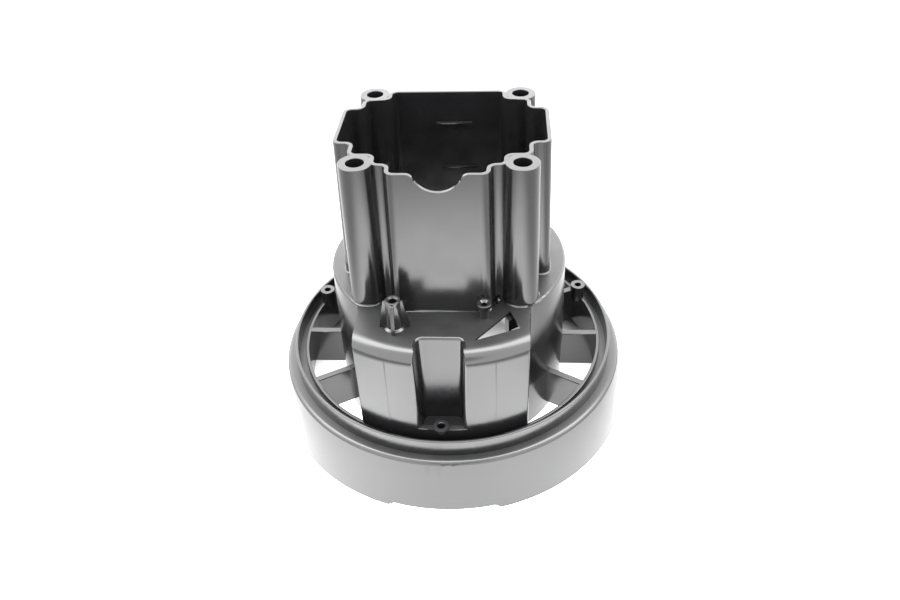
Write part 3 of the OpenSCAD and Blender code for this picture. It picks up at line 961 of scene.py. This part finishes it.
# %% [markdown]
# ## The white room
#
# The picture is high key: white walls all round, exposed so far over that they clip. The black gloss
# turns all that light into greys, so the brightness of the room sets the tone of the part. A room has
# two places that aren't plain white. The photographer and the camera block the light behind them, and
# the part shows that as a darker tone on the faces that look back at the lens. Overhead hangs a strip
# light, which draws the narrow bright line along the top rounding of the box. Lamps and cards could do
# all this, but they would have to be kept out of the picture. Here the World's strength is worked out
# from the way that a ray goes, which gives the same reflections and can't be seen.

# %% Light the white room
ROOM_LIGHT = 6.6
OPERATOR_LIGHT = 0.45
OPERATOR_ANGLES = (10, 22)
STRIP_LIGHT = 11
STRIP_ELEVATION = 100
STRIP_ANGLES = (11, 19)
STRIP_ENDS = (0.45, 0.7)


def room_walls(nodes, links, where):
    """The light of the walls, dimmer round the photographer."""
    closeness = vector_node(nodes, links, "DOT_PRODUCT", where, to_camera)
    inner, outer = (math.cos(math.radians(a)) for a in OPERATOR_ANGLES)
    levels = (ROOM_LIGHT, ROOM_LIGHT * OPERATOR_LIGHT)
    return map_range(nodes, links, closeness, (outer, inner), levels, SMOOTH)


def strip_light(nodes, links, where):
    """The light of a strip from side to side overhead, that fades out towards its two ends."""
    square_to_strip = direction(180, 90 - STRIP_ELEVATION)
    off_strip = vector_node(nodes, links, "DOT_PRODUCT", where, square_to_strip)
    distance = math_node(nodes, links, "ABSOLUTE", off_strip)
    edges = tuple(math.sin(math.radians(a)) for a in STRIP_ANGLES)
    across = map_range(nodes, links, distance, edges, (STRIP_LIGHT, 0), SMOOTH)
    fade = map_range(nodes, links, height_of(nodes, links, where), STRIP_ENDS, (0, 1), SMOOTH)
    return math_node(nodes, links, "MULTIPLY", across, fade)


def white_room():
    """A white world: dimmer where the photographer stands, brighter at the strip overhead."""
    world = bpy.data.worlds.new("white_room")
    world.use_nodes = True
    nodes, links = world.node_tree.nodes, world.node_tree.links
    background = nodes["Background"]
    background.inputs["Color"].default_value = (1, 1, 1, 1)
    where = object_place(nodes)
    walls = room_walls(nodes, links, where)
    strip = strip_light(nodes, links, where)
    links.new(math_node(nodes, links, "ADD", walls, strip), background.inputs["Strength"])
    bpy.context.scene.world = world


white_room()
print("room light:", ROOM_LIGHT, "strip light:", STRIP_LIGHT, "at", STRIP_ELEVATION, "degrees up")

# %% [markdown]
# ## The light table
#
# The part has no shadow in the photo: it stands on a white sheet that is lit from below. The sheet
# also lights the skirt and the front of the tube, which lean towards it. A lamp under clear glass
# would need many samples, so the sheet here is a matt white disc that glows by itself. The glow is
# strongest in front of the part and fades out to nothing round it, and beyond that the disc only
# catches the light of the room, which is enough to be pure white.

# %% Lay the light table
FLOOR_RADIUS_MM = 2500
FLOOR_SIDES = 96
FLOOR_WHITE = 0.25
FLOOR_ROUGHNESS = 0.9
FLOOR_GLOW = 6.4
GLOW_CENTRE = mm(0, -148, 0)
GLOW_EDGE = (60 * MM, 205 * MM)


def glowing_paper():
    """Matt white paper that glows round one place."""
    paper = bpy.data.materials.new("studio_paper")
    paper.use_nodes = True
    nodes, links = paper.node_tree.nodes, paper.node_tree.links
    shader = nodes["Principled BSDF"]
    shader.inputs["Base Color"].default_value = (FLOOR_WHITE, FLOOR_WHITE, FLOOR_WHITE, 1)
    shader.inputs["Roughness"].default_value = FLOOR_ROUGHNESS
    shader.inputs["Specular IOR Level"].default_value = 0
    shader.inputs["Emission Color"].default_value = (1, 1, 1, 1)
    away = vector_node(nodes, links, "DISTANCE", object_place(nodes), GLOW_CENTRE)
    glow = map_range(nodes, links, away, GLOW_EDGE, (FLOOR_GLOW, 0), SMOOTH)
    links.new(glow, shader.inputs["Emission Strength"])
    return paper


def white_floor():
    """A white disc under the part."""
    mesh = bpy.data.meshes.new("studio_floor")
    bm = bmesh.new()
    bmesh.ops.create_circle(bm, cap_ends=True, segments=FLOOR_SIDES, radius=FLOOR_RADIUS_MM * MM)
    bm.to_mesh(mesh)
    bm.free()
    floor = bpy.data.objects.new("studio_floor", mesh)
    bpy.context.scene.collection.objects.link(floor)
    mesh.materials.append(glowing_paper())


white_floor()
bpy.context.scene.view_settings.view_transform = "Standard"
bpy.context.scene.view_settings.look = "None"
print("floor radius mm:", FLOOR_RADIUS_MM, "glow:", FLOOR_GLOW)

# %% [markdown]
# ## The camera
#
# The camera looks down at the front of the part. Besides the direction that is known already, it needs
# a distance from a point on the axis, a lens, and how much it leans. A Track To constraint would aim
# it just as well, but gives no lean. So the three directions of the camera are worked out here: back
# along the view, level to the right, and up. The last two are then rolled by the lean.

# %% Set up the photographer's camera
AIM = mm(0, 0, 60)
ROLL = 2.511
DISTANCE_MM = 378.4
LENS_MM = 32.37
SENSOR_MM = 36
SHIFT_Y = -0.01828
NEAREST_MM = 10
FARTHEST_MM = 10000


def product_camera():
    """A camera at the photograph's viewing angle."""
    azimuth, roll = math.radians(CAMERA_AZIMUTH), math.radians(ROLL)
    back = to_camera
    right = Vector((math.cos(azimuth), math.sin(azimuth), 0))
    up = back.cross(right)
    across = math.cos(roll) * right - math.sin(roll) * up
    upward = math.sin(roll) * right + math.cos(roll) * up
    turn = Matrix((across, upward, back)).transposed()
    data = bpy.data.cameras.new("product_camera")
    data.sensor_width = SENSOR_MM
    data.lens = LENS_MM
    data.shift_y = SHIFT_Y
    data.clip_start = NEAREST_MM * MM
    data.clip_end = FARTHEST_MM * MM
    camera = bpy.data.objects.new("product_camera", data)
    camera.matrix_world = Matrix.Translation(AIM + back * DISTANCE_MM * MM) @ turn.to_4x4()
    bpy.context.scene.collection.objects.link(camera)
    bpy.context.scene.camera = camera
    return camera


camera = product_camera()
print("camera at mm:", [round(v / MM, 1) for v in camera.matrix_world.translation])
